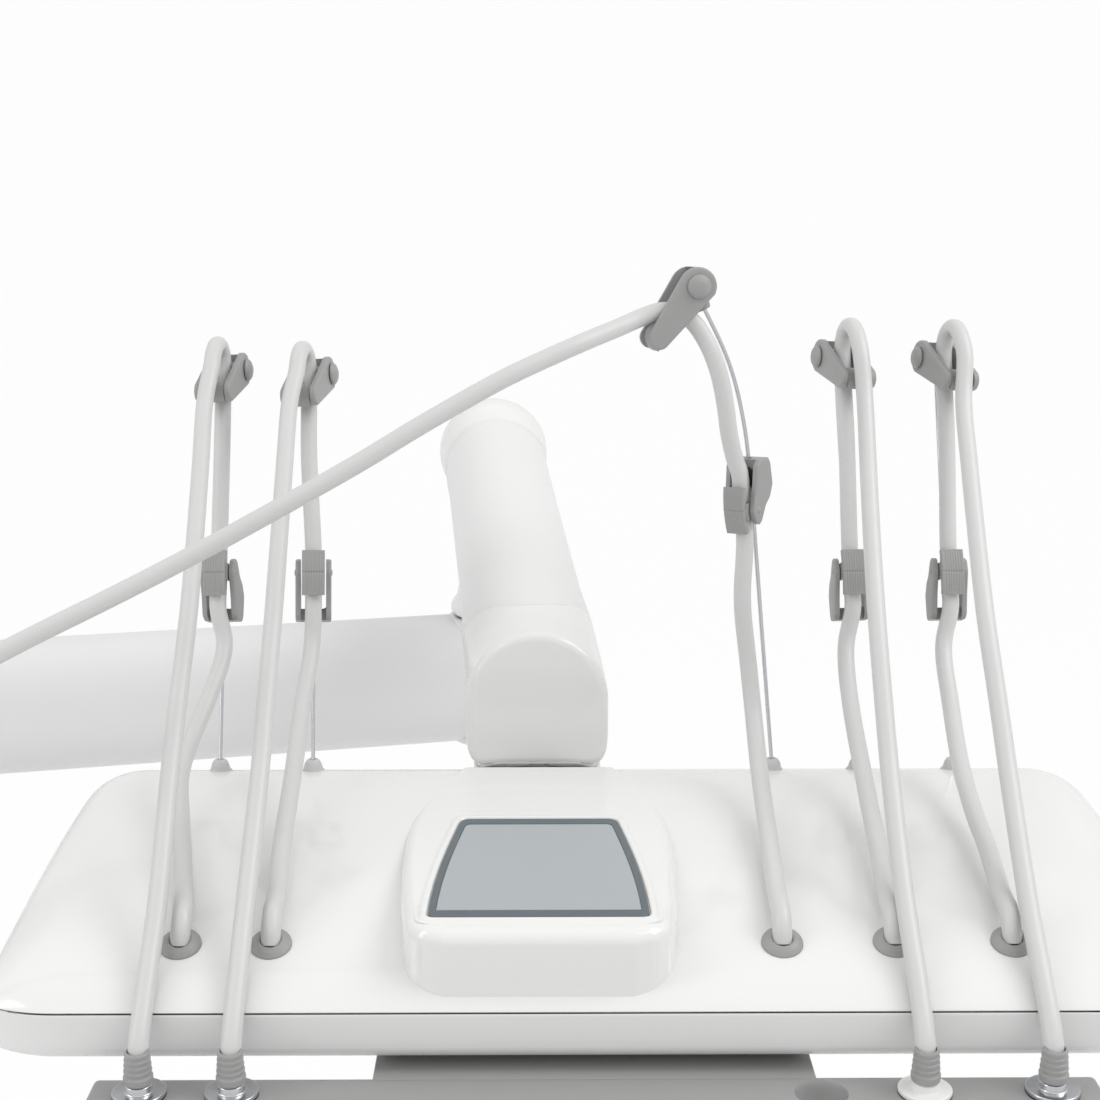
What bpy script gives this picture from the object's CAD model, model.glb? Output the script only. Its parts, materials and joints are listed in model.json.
"""A dental instrument console on a swinging arm.

A post carries a horizontal arm, which ends at an elbow. A spring arm runs down from the elbow to
a knuckle on the console. Five whip arms stand on the console and carry hoses to the instruments;
four hang in a rail along the console's front and the third, a scaler, is drawn out.

Lengths are in millimetres: +X is right, -Y the front, +Z up. X 0 is the keypad's middle, Y 0 lies
2 in front of the whip arms' feet and Z 0 is 3 below the console's crest. to_m() gives metres in
the frame of the CAD pieces, whose Z axis is the post's.
"""
import bpy
import bmesh
import json
import math
import numpy as np
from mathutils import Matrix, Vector


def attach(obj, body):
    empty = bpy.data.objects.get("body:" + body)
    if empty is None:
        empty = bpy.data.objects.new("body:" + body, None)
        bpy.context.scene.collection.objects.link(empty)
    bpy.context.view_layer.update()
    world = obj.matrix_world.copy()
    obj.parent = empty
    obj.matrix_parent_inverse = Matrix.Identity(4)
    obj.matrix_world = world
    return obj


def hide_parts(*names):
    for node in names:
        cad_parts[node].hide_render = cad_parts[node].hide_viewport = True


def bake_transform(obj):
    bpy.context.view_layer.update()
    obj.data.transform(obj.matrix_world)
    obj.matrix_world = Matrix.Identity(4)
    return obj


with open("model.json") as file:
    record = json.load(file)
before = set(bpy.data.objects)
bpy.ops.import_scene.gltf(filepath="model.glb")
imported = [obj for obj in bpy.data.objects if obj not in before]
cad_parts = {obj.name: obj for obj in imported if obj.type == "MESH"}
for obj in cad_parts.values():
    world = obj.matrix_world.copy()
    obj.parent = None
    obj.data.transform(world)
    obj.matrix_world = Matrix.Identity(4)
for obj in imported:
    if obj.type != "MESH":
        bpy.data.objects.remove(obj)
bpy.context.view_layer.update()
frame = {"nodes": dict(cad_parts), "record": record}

ORIGIN = np.array([620.0, -266.0, 180.0])             # this layout's zero in the CAD frame
POST = np.array([-ORIGIN[0], -ORIGIN[1], 0.0])        # the post's axis

# ---- arms ----
ARM_Z, ARM_H, ARM_W = -49.0, 112.0, 84.0              # horizontal arm: mid height, height, width
ARM_TOP, ARM_BOTTOM = ARM_Z + ARM_H / 2, ARM_Z - ARM_H / 2
ELBOW = np.array([-38.6, 395.0, 151.0])               # rear pivot of the spring arm
KNUCKLE = np.array([-1.0, 62.0, 41.0])                # front pivot of the spring arm
DRUM_R, BALL_R = 57.0, 46.0                           # knuckle's drum, elbow's ball

# ---- console ----
CONSOLE_MID = (32.0, -66.0)
CONSOLE_HALF_X, CONSOLE_HALF_Y = 339.0, 182.0
CONSOLE_BOTTOM, SPLIT_Z = -80.0, -48.0                # underside, joint of the two mouldings
CORNER_X, CORNER_Y, CORNER_TOP, CORNER_BOTTOM = 46.0, 24.0, 40.0, 12.0
CROWN_Y, CROWN_Z = -12.0, 3.0                         # crest of the top
FRONT_FALL, REAR_FALL, REAR_SLOPE = 1200, 112, 0.4    # parabola divisors, straight slope behind
STRAIGHT_FROM = REAR_SLOPE * REAR_FALL / 2
PARK_Y, RAIL_TOP = -269.0, -84.0                      # line of parked instruments

# ---- whip arms and hoses ----
HOSE_R, ROD_R, FOOT_Y = 5.6, 1.3, 2
DRAWN = 3                                             # number of the whip whose hose is drawn out
# guide: distance of the hose guide up the rod; yaw and nod in degrees
WHIPS = [
    dict(foot_x=-212, hub=(-214, 105, 256), guide=118, yaw=8, head_yaw=6, nod=30,
         exit_x=-200, park_x=-212, instrument="air_water_syringe_body"),
    dict(foot_x=-150.3, hub=(-155, 105, 253), guide=118, yaw=-7, head_yaw=9, nod=30,
         exit_x=-149.5, park_x=-163, instrument="turbine_handpiece_body"),
    dict(foot_x=155.6, hub=(97, -6, 322), guide=186, yaw=38, head_yaw=78, nod=20,
         exit_x=136, park_x=150),
    dict(foot_x=213, hub=(205.5, 105, 265), guide=118, yaw=-3, head_yaw=-14, nod=30,
         exit_x=198.5, park_x=205, instrument="curing_light_body"),
    dict(foot_x=276.5, hub=(275, 105, 264), guide=118, yaw=-2, head_yaw=-14, nod=30,
         exit_x=264.5, park_x=273, instrument="micromotor_handpiece_body"),
]
PARK_X = [whip["park_x"] for whip in WHIPS]
# (x, y, z) where the drawn whip's rod bends
BENT_ROD = [(136.5, 0, 198), (131, -1, 236), (120.5, -3, 274)]
# (x, y, z) of each hose from its guide down to the console's top
FEED = [
    [(-209.2, 22, 82), (-216.1, -10, 53.9), (-225, -62, 25),
     (-216.4, -110, 9.6), (-210.2, -140, 3), (-203, -178, -10.5)],
    [(-151.2, 22, 82), (-154.1, -10, 53.8), (-154, -62, 25),
     (-153, -110, 9.6), (-151.7, -140, 3), (-149.8, -178, -10.5)],
    [(131.4, -13, 121.5), (135.8, -16, 82.2), (139, -30, 46),
     (138.9, -62, 24.5), (137.3, -125, 5), (136, -178, -10.5)],
    [(205.7, 22, 82), (204.1, -10, 53.1), (204, -62, 24.6),
     (202.1, -110, 9.2), (200.3, -140, 3), (198.9, -178, -10.5)],
    [(271, 22, 82), (269.8, -10, 52.9), (266.5, -62, 24.6),
     (265.3, -110, 9.2), (265, -140, 3), (264.7, -178, -10.5)],
]
# (x, y, z) of each hose from its whip's head down to the console's front lip
DROP = [
    [(-220.5, 47, 243.5), (-218.2, 12, 209.2), (-215.4, -34, 166.2), (-213.6, -76, 125.4),
     (-214.8, -110, 85.1), (-215.2, -140, 50.5), (-212.4, -200, -3.3)],
    [(-164.3, 47, 243.4), (-163.9, 12, 209.1), (-162.7, -34, 166.1), (-161.8, -76, 125.3),
     (-162.5, -110, 85), (-162.7, -140, 50.5), (-163.4, -200, -3.5)],
    None,
    [(216.9, 47, 243.1), (213.9, 12, 208.7), (209.8, -34, 165.6), (206.9, -76, 124.6),
     (206.1, -110, 84.2), (205.7, -140, 49.5), (204.8, -200, -4.5)],
    [(282.3, 47, 243), (279.5, 12, 208.6), (276, -34, 165.5), (273.6, -76, 124.5),
     (274.6, -110, 84.1), (275, -140, 49.5), (273.7, -200, -4.7)],
]
# (y, z) of a hose over its head, in the head's frame: whips 1 and 2, then whips 4 and 5
LOOP_LOW = [(-13.3, 0.5), (-17, 8), (-24, 11.2), (-31.5, 8.8), (-37.5, 1), (-41.5, -10)]
LOOP_HIGH = [(-13.4, 3), (-18.6, 12), (-26, 14.8), (-34, 11.5), (-40, 2), (-43.5, -10)]
# (x, y, z) of the drawn hose above its guide and out to the scaler
DRAWN_RUN = [
    (125, -10.3, 213), (122.5, -11.5, 222), (120.3, -12.5, 232.2), (118.4, -13, 245.6),
    (114.2, -13, 265.9), (108.7, -12, 281.4), (102.7, -10, 292.5), (95.7, -9.5, 301.2),
    (86.1, -11, 306), (76.6, -13, 307.1), (63.3, -17, 303.1), (50.5, -26, 298.4),
    (36.7, -36, 293.9), (23.6, -46, 289.5), (3, -57, 281.6), (-22.1, -70, 271.2),
    (-73.6, -90, 244.3), (-101.8, -100, 228.1), (-155, -118, 200.2), (-203.5, -130, 175.2),
    (-245.5, -146, 155.6), (-288.1, -162, 136.6), (-330, -180, 116), (-368, -199, 95),
]
SCALER_DIR = (-0.80, -0.40, -0.447)


# ---- vectors and frames ----
def to_m(points):
    return (np.asarray(points, float).reshape(-1, 3) + ORIGIN) / 1000.0


def unit(v):
    v = np.asarray(v, float)
    return v / np.linalg.norm(v)


def turn(v, axis, degrees):
    """Turns v about axis."""
    axis, angle = unit(axis), math.radians(degrees)
    return (v * math.cos(angle) + np.cross(axis, v) * math.sin(angle)
            + axis * np.dot(axis, v) * (1 - math.cos(angle)))


def basis(x, y, z, origin):
    m = np.eye(4)
    m[:3, 0], m[:3, 1], m[:3, 2], m[:3, 3] = x, y, z, origin
    return m


def shift(x, y, z):
    m = np.eye(4)
    m[:3, 3] = (x, y, z)
    return m


def turn_x(degrees):
    c, s = math.cos(math.radians(degrees)), math.sin(math.radians(degrees))
    return basis((1, 0, 0), (0, c, s), (0, -s, c), (0, 0, 0))


def turn_z(degrees):
    c, s = math.cos(math.radians(degrees)), math.sin(math.radians(degrees))
    return basis((c, s, 0), (-s, c, 0), (0, 0, 1), (0, 0, 0))


# Lays a shape turned about z along x, and a half turn about y
ALONG_X = basis((0, 1, 0), (0, 0, 1), (1, 0, 0), (0, 0, 0))
HALF_TURN_Y = np.diag([-1.0, 1.0, -1.0, 1.0])


def frame_along(origin, direction, yaw=0, toward=(0, 1.0, 0)):
    """A frame with z along direction and y near toward, then turned by -yaw about z."""
    z = unit(direction)
    y = np.array(toward)
    y = turn(unit(y - z * np.dot(y, z)), z, -yaw)
    return basis(np.cross(y, z), y, z, origin)


def transform(matrix, points):
    p = np.asarray(points, float).reshape(-1, 3)
    return p @ matrix[:3, :3].T + matrix[:3, 3]


def crown(y):
    """Height of the console's top along its depth."""
    behind = y - CROWN_Y
    if behind <= 0:
        return CROWN_Z - behind * behind / FRONT_FALL
    if behind < STRAIGHT_FROM:
        return CROWN_Z - behind * behind / REAR_FALL
    return CROWN_Z - REAR_SLOPE * STRAIGHT_FROM / 2 - REAR_SLOPE * (behind - STRAIGHT_FROM)


# ---- materials ----
def add_noise(tree, coords, scale, detail=2.0):
    noise = tree.nodes.new("ShaderNodeTexNoise")
    noise.inputs["Scale"].default_value = scale
    noise.inputs["Detail"].default_value = detail
    tree.links.new(coords.outputs["Object"], noise.inputs["Vector"])
    return noise


def material(name, base, roughness, metallic=0.0, coat=0.0, anisotropic=0.0, subsurface=0.0,
             transmission=0.0, mottle=0.0, grain=0.0, grain_size=900.0):
    """A Principled material; mottle varies its colour, grain is its bump, grain_size its scale."""
    mat = bpy.data.materials.new(name)
    mat.use_nodes = True
    tree = mat.node_tree
    link = tree.links.new
    shader = tree.nodes["Principled BSDF"]

    def put(socket, value):
        shader.inputs[socket].default_value = value

    put("Base Color", (*base, 1))
    put("Roughness", roughness)
    put("Metallic", metallic)
    put("Coat Weight", coat)
    put("Coat Roughness", 0.06)
    put("Anisotropic", anisotropic)
    if subsurface:
        put("Subsurface Weight", subsurface)
        put("Subsurface Radius", (0.004, 0.004, 0.004))
        put("Subsurface Scale", 1.0)
    if transmission:
        put("Transmission Weight", transmission)
        put("IOR", 1.45)
    coords = tree.nodes.new("ShaderNodeTexCoord")
    # slow change of polish across the surface, as a wiped moulding has
    polish = add_noise(tree, coords, scale=9.0, detail=3.0)
    spread = 0.035
    polish_range = tree.nodes.new("ShaderNodeMapRange")
    polish_range.inputs["To Min"].default_value = max(roughness - spread, 0.02)
    polish_range.inputs["To Max"].default_value = roughness + spread
    link(polish.outputs["Fac"], polish_range.inputs["Value"])
    link(polish_range.outputs["Result"], shader.inputs["Roughness"])
    if mottle:
        mix = tree.nodes.new("ShaderNodeMix")
        mix.data_type = "RGBA"
        mix.inputs["A"].default_value = (*[c * (1 - mottle) for c in base], 1)
        mix.inputs["B"].default_value = (*[min(c * (1 + mottle), 1) for c in base], 1)
        patches = add_noise(tree, coords, scale=60.0)
        link(patches.outputs["Fac"], mix.inputs["Factor"])
        link(mix.outputs["Result"], shader.inputs["Base Color"])
    if grain:
        grain_noise = add_noise(tree, coords, scale=grain_size)
        bump = tree.nodes.new("ShaderNodeBump")
        bump.inputs["Strength"].default_value = grain
        bump.inputs["Distance"].default_value = 0.0004
        link(grain_noise.outputs["Fac"], bump.inputs["Height"])
        link(bump.outputs["Normal"], shader.inputs["Normal"])
    return mat


MAT = {
    "gloss_white": material("gloss_white", (0.775, 0.775, 0.762), roughness=0.14, coat=0.5),
    "arm_white": material("arm_white", (0.70, 0.70, 0.70), roughness=0.42,
                          grain=0.05, grain_size=1500),
    "cover_white": material("cover_white", (0.745, 0.745, 0.74), roughness=0.34,
                            grain=0.04, grain_size=1500),
    "clip_grey": material("clip_grey", (0.315, 0.315, 0.312), roughness=0.46,
                          grain=0.16, grain_size=1800, mottle=0.02),
    "hose_white": material("hose_white", (0.60, 0.60, 0.595), roughness=0.36,
                           subsurface=0.05, mottle=0.01),
    "steel": material("steel", (0.62, 0.63, 0.65), roughness=0.24, metallic=1.0,
                      anisotropic=0.3),
    "slate": material("slate", (0.09, 0.115, 0.13), roughness=0.34, mottle=0.02),
    "keypad_grey": material("keypad_grey", (0.37, 0.395, 0.41), roughness=0.32, grain=0.03),
    "dark_plastic": material("dark_plastic", (0.035, 0.037, 0.04), roughness=0.5, grain=0.1),
    "board": material("board", (0.02, 0.15, 0.07), roughness=0.35, mottle=0.12),
    "handle_white": material("handle_white", (0.78, 0.78, 0.77), roughness=0.3, coat=0.2),
    "light_ring": material("light_ring", (0.85, 0.9, 0.93), roughness=0.1, transmission=0.5),
    "boot": material("boot_grey", (0.55, 0.55, 0.545), roughness=0.55, grain=0.1),
    "lens": material("lens_dark", (0.02, 0.025, 0.05), roughness=0.12, coat=0.6),
    "screw": material("screw_steel", (0.55, 0.56, 0.57), roughness=0.3, metallic=1.0),
}


# ---- objects ----
def link_mesh(name, shape):
    mesh = bpy.data.meshes.new(name)
    mesh.from_pydata(to_m(shape[0]).tolist(), [], shape[1])
    ob = bpy.data.objects.new(name, mesh)
    bpy.context.scene.collection.objects.link(ob)
    return ob


def face_outwards(mesh, weld=None):
    bm = bmesh.new()
    bm.from_mesh(mesh)
    if weld:
        bmesh.ops.remove_doubles(bm, verts=bm.verts, dist=weld / 1000)
    bmesh.ops.recalc_face_normals(bm, faces=bm.faces)
    bm.to_mesh(mesh)
    bm.free()


def subtract(ob, shape):
    """Adds a boolean cut and returns the cutter, to be removed once the cut is baked."""
    cutter = link_mesh("cutter", shape)
    face_outwards(cutter.data)
    cut = ob.modifiers.new("cut", "BOOLEAN")
    cut.operation, cut.object, cut.solver = "DIFFERENCE", cutter, "EXACT"
    return cutter


def add_bevel(ob, width, segments=2, angle=40):
    bevel = ob.modifiers.new("edge", "BEVEL")
    bevel.width, bevel.segments = width / 1000, segments
    bevel.limit_method, bevel.angle_limit = "ANGLE", math.radians(angle)


def bake(ob):
    """Turns the object's modifiers into plain mesh."""
    bpy.context.view_layer.update()
    graph = bpy.context.evaluated_depsgraph_get()
    baked = bpy.data.meshes.new_from_object(ob.evaluated_get(graph))
    ob.modifiers.clear()
    ob.data = baked


def finish(ob, mat, body, replaces, sharp):
    mesh = ob.data
    mesh.polygons.foreach_set("use_smooth", [True] * len(mesh.polygons))
    mesh.set_sharp_from_angle(angle=math.radians(sharp))
    mesh.materials.clear()
    mesh.materials.append(MAT[mat])
    if body:
        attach(ob, body)
    if replaces:
        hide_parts(replaces)


def piece(name, shape, mat, body, replaces=None, sharp=38, weld=None, bevel=None,
          cutters=()):
    """Makes a finished object from a shape, which is a pair of points and faces."""
    ob = link_mesh(name, shape)
    ob.data.validate()
    face_outwards(ob.data, weld)
    holes = [subtract(ob, cutter) for cutter in cutters]
    if bevel:
        add_bevel(ob, bevel)
    if ob.modifiers:
        bake(ob)
        ob.data.name = name
    for hole in holes:
        bpy.data.objects.remove(hole)
    finish(ob, mat, body, replaces, sharp)
    return ob


# ---- outlines ----
def fillet(points, radius, steps=5, closed=False):
    """Rounds the corners of a polyline; radius is a number or one for each point."""
    p = [np.asarray(q, float) for q in points]
    n = len(p)
    radii = radius if hasattr(radius, "__len__") else [radius] * n
    out = []
    for i in range(n):
        corner = p[i]
        if not closed and i in (0, n - 1):
            out.append(corner)
            continue
        before, after = p[i - 1] - corner, p[(i + 1) % n] - corner
        len_before, len_after = np.linalg.norm(before), np.linalg.norm(after)
        if len_before < 1e-6 or len_after < 1e-6 or radii[i] <= 0:
            out.append(corner)
            continue
        before, after = before / len_before, after / len_after
        half = math.acos(max(-1, min(1, float(np.dot(before, after))))) / 2
        if half > math.radians(88.5):
            out.append(corner)
            continue
        cut = min(radii[i] / math.tan(half), 0.48 * len_before, 0.48 * len_after)
        start, end = corner + before * cut, corner + after * cut
        for k in range(steps + 1):
            w = k / steps
            out.append((1 - w) ** 2 * start + 2 * w * (1 - w) * corner + w * w * end)
    return out


def rounded(rows, steps=5, closed=False):
    """Fillets an outline given as rows whose third column is the corner's rounding."""
    return fillet([row[:2] for row in rows], [row[2] for row in rows], steps, closed)


def offset_loop(points, distance):
    """Moves a closed 2-D outline outwards along its corner normals."""
    p = np.asarray(points, float)
    following = np.roll(p, -1, 0)
    area = 0.5 * np.sum(p[:, 0] * following[:, 1] - following[:, 0] * p[:, 1])
    edge = following - p
    edge = edge / np.maximum(np.linalg.norm(edge, axis=1, keepdims=True), 1e-9)
    normal = np.stack([edge[:, 1], -edge[:, 0]], 1) * (1 if area > 0 else -1)
    mitre = normal + np.roll(normal, 1, 0)
    mitre = mitre / np.maximum(np.linalg.norm(mitre, axis=1, keepdims=True), 1e-6)
    cosine = np.sum(mitre * normal, 1, keepdims=True)
    return p + mitre * distance / np.maximum(cosine, 0.55)


def resample(points, n):
    """Spaces n points evenly round a closed outline."""
    p = np.asarray(points, float)
    p = np.vstack([p, p[:1]])
    length = np.concatenate([[0], np.cumsum(np.linalg.norm(np.diff(p, axis=0), axis=1))])
    t = np.linspace(0, length[-1], n + 1)[:-1]
    return np.stack([np.interp(t, length, p[:, k]) for k in range(p.shape[1])], 1)


def arc(x, y, radius, start, end, steps):
    angles = [math.radians(start + (end - start) * i / steps) for i in range(steps + 1)]
    return [(x + radius * math.cos(a), y + radius * math.sin(a)) for a in angles]


def quarter_turn(steps):
    """(sine, cosine) over a right angle."""
    angles = [math.pi / 2 * k / steps for k in range(steps + 1)]
    return [(math.sin(a), math.cos(a)) for a in angles]


# ---- shapes: pairs of points and faces ----
def place(matrix, shape):
    return transform(matrix, shape[0]), shape[1]


def merge(*shapes):
    points, faces, count = [], [], 0
    for shape_points, shape_faces in shapes:
        points.append(shape_points)
        faces += [[i + count for i in face] for face in shape_faces]
        count += len(shape_points)
    return np.vstack(points), faces


def lathe(profile, sides=48):
    """Turns (r, z) points about z. Points on the axis become one vertex."""
    points, rows, faces = [], [], []
    for r, z in profile:
        if r < 1e-4:
            rows.append([len(points)])
            points.append((0, 0, z))
        else:
            rows.append(list(range(len(points), len(points) + sides)))
            for i in range(sides):
                angle = 2 * math.pi * i / sides
                points.append((r * math.cos(angle), r * math.sin(angle), z))
    for a, b in zip(rows, rows[1:]):
        if len(a) == 1 and len(b) == 1:
            continue
        for i in range(sides):
            j = (i + 1) % sides
            if len(a) == 1:
                faces.append([a[0], b[i], b[j]])
            elif len(b) == 1:
                faces.append([a[i], b[0], a[j]])
            else:
                faces.append([a[i], b[i], b[j], a[j]])
    return np.array(points, float), faces


def stack(loops, cap=(True, True)):
    """Skins closed loops that have the same number of points."""
    n = len(loops[0])
    faces = []
    for k in range(len(loops) - 1):
        for i in range(n):
            j = (i + 1) % n
            faces.append([k * n + i, k * n + j, (k + 1) * n + j, (k + 1) * n + i])
    if cap[0]:
        faces.append(list(range(n))[::-1])
    if cap[1]:
        faces.append(list(range((len(loops) - 1) * n, len(loops) * n)))
    return np.vstack([np.asarray(loop, float) for loop in loops]), faces


def prism_x(outline, width, edge, steps):
    """An outline in (y, z) carried along x, with its two end edges rounded."""
    rings = [(-edge * (1 - s), -width / 2 + edge * (1 - c)) for s, c in quarter_turn(steps)]
    rings += [(inset, -x) for inset, x in reversed(rings)]
    loops = []
    for inset, x in rings:
        loop = offset_loop(outline, inset)
        loops.append(np.column_stack([np.full(len(loop), x), loop]))
    return stack(loops)


def block(x0, x1, y0, y1, z0, z1):
    points = np.array([(x, y, z) for z in (z0, z1) for y in (y0, y1) for x in (x0, x1)], float)
    return points, [[0, 2, 3, 1], [4, 5, 7, 6], [0, 1, 5, 4],
                    [2, 6, 7, 3], [0, 4, 6, 2], [1, 3, 7, 5]]


def catmull(points, per):
    """Centripetal Catmull-Rom through the points, with per steps between neighbours."""
    p = [np.asarray(q, float) for q in points]
    p = [2 * p[0] - p[1]] + p + [2 * p[-1] - p[-2]]
    out = []
    for i in range(1, len(p) - 2):
        p0, p1, p2, p3 = p[i - 1:i + 3]
        t0 = 0.0
        t1 = t0 + max(np.linalg.norm(p1 - p0), 1e-4) ** 0.5
        t2 = t1 + max(np.linalg.norm(p2 - p1), 1e-4) ** 0.5
        t3 = t2 + max(np.linalg.norm(p3 - p2), 1e-4) ** 0.5
        for k in range(per):
            t = t1 + (t2 - t1) * k / per
            a1 = (t1 - t) / (t1 - t0) * p0 + (t - t0) / (t1 - t0) * p1
            a2 = (t2 - t) / (t2 - t1) * p1 + (t - t1) / (t2 - t1) * p2
            a3 = (t3 - t) / (t3 - t2) * p2 + (t - t2) / (t3 - t2) * p3
            b1 = (t2 - t) / (t2 - t0) * a1 + (t - t0) / (t2 - t0) * a2
            b2 = (t3 - t) / (t3 - t1) * a2 + (t - t1) / (t3 - t1) * a3
            out.append((t2 - t) / (t2 - t1) * b1 + (t - t1) / (t2 - t1) * b2)
    out.append(p[-2])
    return np.array(out)


def relax(path, times):
    """Evens out the curvature of a path without moving its ends."""
    q = path.copy()
    for _ in range(times):
        q[1:-1] = 0.25 * q[:-2] + 0.5 * q[1:-1] + 0.25 * q[2:]
    return q


def rings_along(path, radius, sides):
    """Circles square to a path; radius is a number or one for each point."""
    tangent = np.gradient(path, axis=0)
    tangent = tangent / np.linalg.norm(tangent, axis=1, keepdims=True)
    across = np.array([0, 0, 1.0]) if abs(tangent[0][2]) < 0.9 else np.array([0, 1.0, 0])
    u = unit(np.cross(across, tangent[0]))
    a = 2 * math.pi * np.arange(sides) / sides
    out = []
    for i in range(len(path)):
        u = unit(u - tangent[i] * np.dot(u, tangent[i]))
        w = np.cross(tangent[i], u)
        r = radius[i] if hasattr(radius, "__len__") else radius
        out.append(path[i] + r * (np.outer(np.cos(a), u) + np.outer(np.sin(a), w)))
    return out


# ---- post socket; profile rows are (r, z, rounding) throughout ----
post_frame = shift(POST[0], POST[1], 0)
piece("post_socket_body", place(post_frame, lathe(rounded([
    (0, -180, 0), (58, -180, 0), (62, -176, 2), (62, -166, 2), (56, -162, 3),
    (54, ARM_BOTTOM - 2.2, 1.5), (25, ARM_BOTTOM - 2.2, 1), (25, ARM_BOTTOM + 70, 1),
    (0, ARM_BOTTOM + 70, 0)]), 72)), "gloss_white", "post", "post_socket")


# ---- horizontal arm: a soft-cornered beam between two round ends ----
def build_horizontal_arm():
    run = ELBOW - POST
    length = math.hypot(run[0], run[1])
    arm_frame = post_frame @ turn_z(math.degrees(math.atan2(run[1], run[0])))

    def soften(c):
        return math.copysign(abs(c) ** 0.78, c)

    section = []
    for i in range(120):
        t = 2 * math.pi * i / 120
        section.append((ARM_W / 2 * soften(math.cos(t)),
                        ARM_Z + (ARM_H / 2 - 0.6) * soften(math.sin(t))))
    beam = prism_x(section, length - 20, edge=0.5, steps=1)
    parts = [place(arm_frame, place(shift(length / 2, 0, 0), beam))]
    for radius, x in ((56, 0), (43, length)):
        profile = [(0, ARM_BOTTOM), (radius, ARM_BOTTOM), (radius, ARM_TOP), (0, ARM_TOP)]
        parts.append(place(arm_frame @ shift(x, 0, 0), lathe(fillet(profile, 9, 7), 80)))
    piece("horizontal_arm_body", merge(*parts), "arm_white", "swing_arm", "horizontal_arm")


build_horizontal_arm()
# cap on top of the post end
cap_profile = [(0, ARM_TOP + 1.6), (24, ARM_TOP + 1.6), (24, ARM_TOP - 0.5), (0, ARM_TOP - 0.5)]
piece("post_end_cap", place(post_frame, lathe(fillet(cap_profile, 1.4), 56)),
      "cover_white", "swing_arm")

# ---- elbow: a waisted stem under a ball, slotted on its front side ----
spring_len = float(np.linalg.norm(KNUCKLE - ELBOW))
forward = unit(KNUCKLE - ELBOW)
level = unit([forward[0], forward[1], 0])
pin_dir = unit(np.cross([0, 0, 1], level))
ball_z = ELBOW[2]
elbow_frame = basis(pin_dir, -level, (0, 0, 1), (ELBOW[0], ELBOW[1], 0))
ball = arc(0, ball_z, BALL_R, -53, 90, 39)
stem = rounded([
    (0, ARM_TOP - 68, 0), (20, ARM_TOP - 68, 0), (20, ARM_TOP + 2, 1), (36, ARM_TOP + 2, 1.5),
    (38, ARM_TOP + 5, 1.5), (38, ARM_TOP + 10, 4), (33, ARM_TOP + 18, 8),
    (29, ARM_TOP + 34, 10), (27.6, ball_z - 60, 12), (*ball[0], 0)])
piece("elbow_housing_body", place(elbow_frame, lathe(stem + ball[1:], 72)),
      "gloss_white", "elbow", "elbow_housing",
      cutters=[place(elbow_frame, block(-9, 9, -60, 18.8, ball_z - 39, ball_z + 19))])

# ---- spring arm cover: its front end is hollowed to the knuckle's drum, its rear to the ball.
# In its frame z runs from the knuckle to the elbow and y down.
rearward = -forward
cover_frame = basis(pin_dir, np.cross(rearward, pin_dir), rearward, KNUCKLE)
# (radius, z)
COVER_PROFILE = [(49.0, 24), (48.7, 36), (48.3, 50), (46.7, 76), (45.2, 105), (44.2, 150),
                 (43.3, 220), (42.3, 300), (42.0, spring_len - 14)]


def cover_radius(z):
    return float(np.interp(z, [q[1] for q in COVER_PROFILE], [q[0] for q in COVER_PROFILE]))


def drum_z(radius, y):
    """Where a cylinder about the knuckle's pin meets height y of the cover's frame."""
    return math.sqrt(max(radius ** 2 - y ** 2, 1))


def cover_row(w, inset=0):
    """A ring of the cover at share w of its length, outside or inset for its wall."""
    row = []
    for i in range(96):
        angle = 2 * math.pi * i / 96
        across, down = math.cos(angle), math.sin(angle)
        z = 50.0
        for _ in range(4):                            # radius and place depend on each other
            r = cover_radius(z) - inset
            z_front = drum_z(DRUM_R + 0.5, r * down)
            low_side = min(max((r * down + 2) / 20, 0), 1)
            z_ball = spring_len - math.sqrt(max((BALL_R + 0.9) ** 2 - r * r, 25))
            z_rear = z_ball * (1 - low_side) + (spring_len - 66) * low_side
            z = z_front + (z_rear - z_front) * w
        if not inset:
            # a bead near the rear, and mouths that turn in a little
            r += 0.9 * math.exp(-((z_rear - z - 3.5) / 3.0) ** 2)
            r -= 0.8 * (math.exp(-((z - z_front) / 0.9) ** 2)
                        + math.exp(-((z_rear - z) / 0.9) ** 2))
        row.append((r * across, r * down, z))
    return row


outer_rows = [cover_row(k / 60) for k in range(61)]
inner_rows = [cover_row(k / 60, inset=3) for k in range(61)]
cover_loops = outer_rows + inner_rows[::-1] + [outer_rows[0]]
piece("spring_arm_cover_body", place(cover_frame, stack(cover_loops, (False, False))),
      "cover_white", "spring_arm", "spring_arm_cover", weld=0.001, sharp=50)

# ---- front knuckle ----
KNUCKLE_X, KNUCKLE_Y, KNUCKLE_Z = KNUCKLE
FACE_Y, FACE_EDGE = 29.0, 6.2                         # front face and its edge rounding
FOOT_SIDE = [(48.5, 14, 20), (47.6, 4, 14), (44.5, -3, 8), (40, -6, 6)]  # half x, z, rounding


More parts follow.
